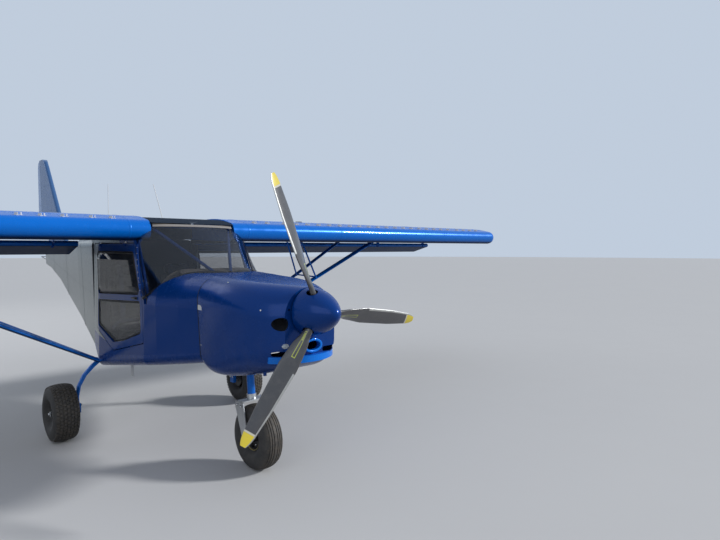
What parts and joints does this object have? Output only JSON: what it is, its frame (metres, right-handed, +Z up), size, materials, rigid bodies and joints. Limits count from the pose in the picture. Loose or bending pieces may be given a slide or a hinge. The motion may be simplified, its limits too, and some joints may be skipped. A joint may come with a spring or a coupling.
{
  "type": "ultralight aircraft",
  "caption": "High-wing two-seat ultralight aircraft on fixed nose-wheel gear, with a tractor propeller, strut-braced wings, hinged doors, flaperons, rudder and elevator.",
  "frame": {"origin": "on the ground under the middle of the length and span", "axes": "+Z up, -Y towards the nose, +X towards the left wing tip"},
  "size_m": [8.972, 6.586, 2.778],
  "materials": {
    "blue_paint": "gloss",
    "bright_blue_paint": "gloss",
    "bare_metal": "satin",
    "machined_metal": "satin",
    "clear_glazing": "clear",
    "black_plastic": "matte",
    "carbon_blade": "satin",
    "taupe_panel": "matte",
    "seat_cloth": "matte",
    "tyre_rubber": "matte",
    "rim_paint": "satin",
    "engine_block": "rough",
    "white_trim": "satin"
  },
  "bodies": {
    "airframe": {"antennas": "white_trim", "brake_lines": "black_plastic", "bulkheads": "bare_metal", "cabin_controls": "black_plastic", "cabin_frame": "blue_paint", "cowl_lower": "blue_paint", "cowl_upper": "blue_paint", "door_hinges": "machined_metal", "engine": "engine_block", "exhaust_stub": "machined_metal", "fin": "bare_metal", "floor_pan": "bare_metal", "fuel_caps": "black_plastic", "instrument_panel": "taupe_panel", "intake_lips": "bright_blue_paint", "jury_struts": "blue_paint", "main_axles": "machined_metal", "main_gear_legs": "blue_paint", "nose_leg_bearings": "machined_metal", "seats": "seat_cloth", "side_panels": "blue_paint", "skylight": "clear_glazing", "stabiliser": "bare_metal", "tail_cone": "bare_metal", "tail_skid": "machined_metal", "top_deck": "blue_paint", "turtle_deck": "bare_metal", "windshield": "clear_glazing", "wing_fittings": "bright_blue_paint", "wing_struts": "bright_blue_paint", "wing_tips": "bright_blue_paint", "wings": "bright_blue_paint"},
    "propeller": {"spinner": "blue_paint", "propeller_hub": "machined_metal", "propeller_blades": "carbon_blade"},
    "nose_steering": {"nose_leg": "blue_paint", "nose_fork": "machined_metal", "nose_axle": "machined_metal"},
    "nose_wheel": {"tyre_nose": "tyre_rubber", "rim_nose": "rim_paint"},
    "wheel_left": {"tyre_left": "tyre_rubber", "rim_left": "rim_paint"},
    "wheel_right": {"tyre_right": "tyre_rubber", "rim_right": "rim_paint"},
    "door_l": {"door_left": "blue_paint", "door_glass_left": "clear_glazing"},
    "door_r": {"door_right": "blue_paint", "door_glass_right": "clear_glazing"},
    "flap_l": {"flaperon_left": "blue_paint"},
    "flap_r": {"flaperon_right": "blue_paint"},
    "elevator_body": {"elevator": "bare_metal"},
    "rudder_body": {"rudder": "bare_metal"}
  },
  "joints": [
    {"name": "propeller_spin", "type": "hinge", "parent": "airframe", "child": "propeller", "pos_m": [0, -3.115, 1.157], "axis": [0, 1, 0], "continuous": true},
    {"name": "nose_steer", "type": "hinge", "parent": "airframe", "child": "nose_steering", "pos_m": [0, -2.361, 0.48], "axis": [0, 0.0995, 0.995], "range_deg": [-20, 20]},
    {"name": "nose_wheel_spin", "type": "hinge", "parent": "nose_steering", "child": "nose_wheel", "pos_m": [0, -2.437, 0.227], "axis": [1, 0, 0], "continuous": true},
    {"name": "left_wheel_spin", "type": "hinge", "parent": "airframe", "child": "wheel_left", "pos_m": [0.8435, -0.877, 0.227], "axis": [1, 0, 0], "continuous": true},
    {"name": "right_wheel_spin", "type": "hinge", "parent": "airframe", "child": "wheel_right", "pos_m": [-0.8435, -0.877, 0.227], "axis": [1, 0, 0], "continuous": true},
    {"name": "left_door_hinge", "type": "hinge", "parent": "airframe", "child": "door_l", "pos_m": [0.478, -0.877, 1.588], "axis": [0, -1, 0], "range_deg": [0, 76]},
    {"name": "right_door_hinge", "type": "hinge", "parent": "airframe", "child": "door_r", "pos_m": [-0.478, -0.877, 1.588], "axis": [0, 1, 0], "range_deg": [0, 76]},
    {"name": "left_flaperon_hinge", "type": "hinge", "parent": "airframe", "child": "flap_l", "pos_m": [2.4, -0.407, 1.583], "axis": [1, 0, 0], "range_deg": [-30, 15]},
    {"name": "right_flaperon_hinge", "type": "hinge", "parent": "airframe", "child": "flap_r", "pos_m": [-2.4, -0.407, 1.583], "axis": [1, 0, 0], "range_deg": [-30, 15]},
    {"name": "elevator_hinge", "type": "hinge", "parent": "airframe", "child": "elevator_body", "pos_m": [0, 2.741, 1.598], "axis": [1, 0, 0], "range_deg": [-25, 25]},
    {"name": "rudder_hinge", "type": "hinge", "parent": "airframe", "child": "rudder_body", "pos_m": [0, 3.011, 1.7], "axis": [0, 0.0997, 0.995], "range_deg": [-25, 25]}
  ]
}
